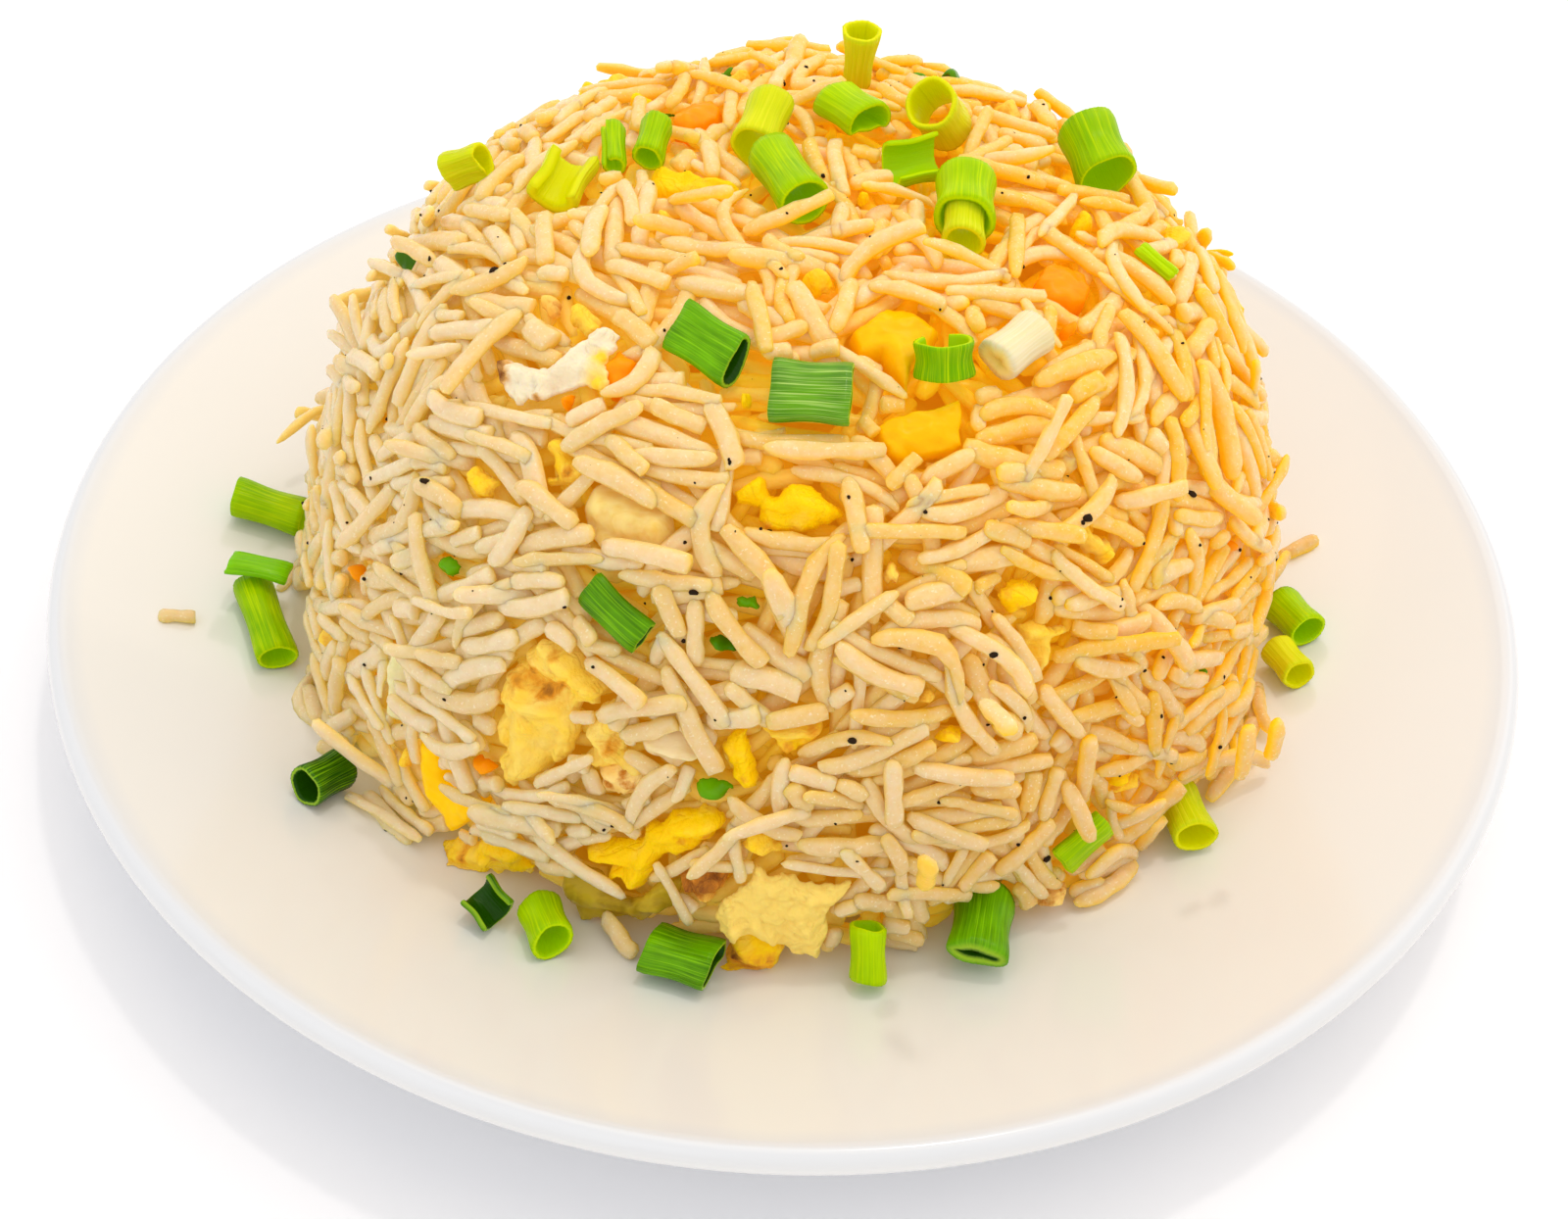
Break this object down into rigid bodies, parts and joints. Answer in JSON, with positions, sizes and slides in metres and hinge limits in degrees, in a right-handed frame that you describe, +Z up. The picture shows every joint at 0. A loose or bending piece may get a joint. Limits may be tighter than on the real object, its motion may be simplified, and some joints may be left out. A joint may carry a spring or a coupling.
{
  "type": "fried rice plate",
  "caption": "Dome of egg fried rice with cut spring onion, egg and diced vegetables on a round white plate with a raised rim.",
  "frame": {"origin": "centre of the plate's foot, on the surface that it stands on", "axes": "+Z up, -Y towards the diner, +X to the diner's right"},
  "size_m": [0.2098, 0.2098, 0.0807],
  "materials": {
    "plate_glaze": "glossy warm white glaze",
    "rice": "moist cooked long-grain rice, cream with a light oil sheen",
    "spring_onion_green": "moist fresh green leaf with fine lengthwise ribs",
    "spring_onion_dark": "moist dark green leaf with fine lengthwise ribs",
    "spring_onion_pale": "moist yellow-green leaf base",
    "onion_white": "moist, slightly see-through white onion flesh",
    "egg_yellow": "soft set scrambled egg with browned edges",
    "egg_white": "set egg white with a browned tip",
    "egg_browned": "fried brown egg crust",
    "yellow_pepper": "glossy cooked yellow sweet pepper",
    "carrot": "moist cooked carrot",
    "cabbage": "soft, slightly see-through pale cabbage"
  },
  "bodies": {
    "root": {"plate": "plate_glaze", "rice_mound": "rice", "spring_onion_upright": "spring_onion_pale", "spring_onion_back_left": "spring_onion_green", "spring_onion_ring_back": "spring_onion_pale", "spring_onion_split_back": "spring_onion_green", "spring_onion_outer": "spring_onion_green", "spring_onion_inner": "spring_onion_pale", "spring_onion_right": "spring_onion_green", "spring_onion_crown_pale": "spring_onion_pale", "spring_onion_crown_long": "spring_onion_green", "spring_onion_left_pale": "spring_onion_pale", "spring_onion_twin_thin": "spring_onion_green", "spring_onion_twin_thick": "spring_onion_green", "spring_onion_left_edge": "spring_onion_pale", "spring_onion_folded": "spring_onion_dark", "spring_onion_pressed": "spring_onion_dark", "spring_onion_ring_front": "spring_onion_green", "spring_onion_white": "onion_white", "spring_onion_shred": "spring_onion_green", "spring_onion_leaf_front": "spring_onion_dark", "spring_onion_leaf_low": "spring_onion_green", "spring_onion_plate_left": "spring_onion_green", "spring_onion_plate_over": "spring_onion_dark", "spring_onion_plate_under": "spring_onion_green", "spring_onion_plate_dark": "spring_onion_dark", "spring_onion_plate_cup": "spring_onion_dark", "spring_onion_plate_short": "spring_onion_green", "spring_onion_plate_front": "spring_onion_dark", "spring_onion_plate_thin": "spring_onion_green", "spring_onion_plate_big": "spring_onion_dark", "spring_onion_plate_right": "spring_onion_green", "spring_onion_plate_far": "spring_onion_green", "spring_onion_plate_pale": "spring_onion_pale", "egg_white_star": "egg_white", "egg_yellow_front": "egg_yellow", "egg_folded_tall": "egg_yellow", "egg_folded_side": "egg_yellow", "egg_strip": "egg_yellow", "egg_sheet": "egg_yellow", "egg_golden": "egg_yellow", "egg_browned": "egg_browned", "egg_brown_edged": "egg_browned", "egg_right": "egg_yellow", "egg_left": "egg_yellow", "egg_stick": "egg_yellow", "egg_curl": "egg_yellow", "egg_base_left": "egg_yellow", "egg_small_right": "egg_yellow", "egg_back_left": "egg_yellow", "yellow_pepper_top": "yellow_pepper", "yellow_pepper_front": "yellow_pepper", "yellow_pepper_left": "yellow_pepper", "carrot_right": "carrot", "carrot_back": "carrot", "carrot_left": "carrot", "white_onion_left": "onion_white", "white_onion_low": "onion_white", "cabbage_left": "cabbage", "cabbage_low": "cabbage"}
  },
  "joints": []
}
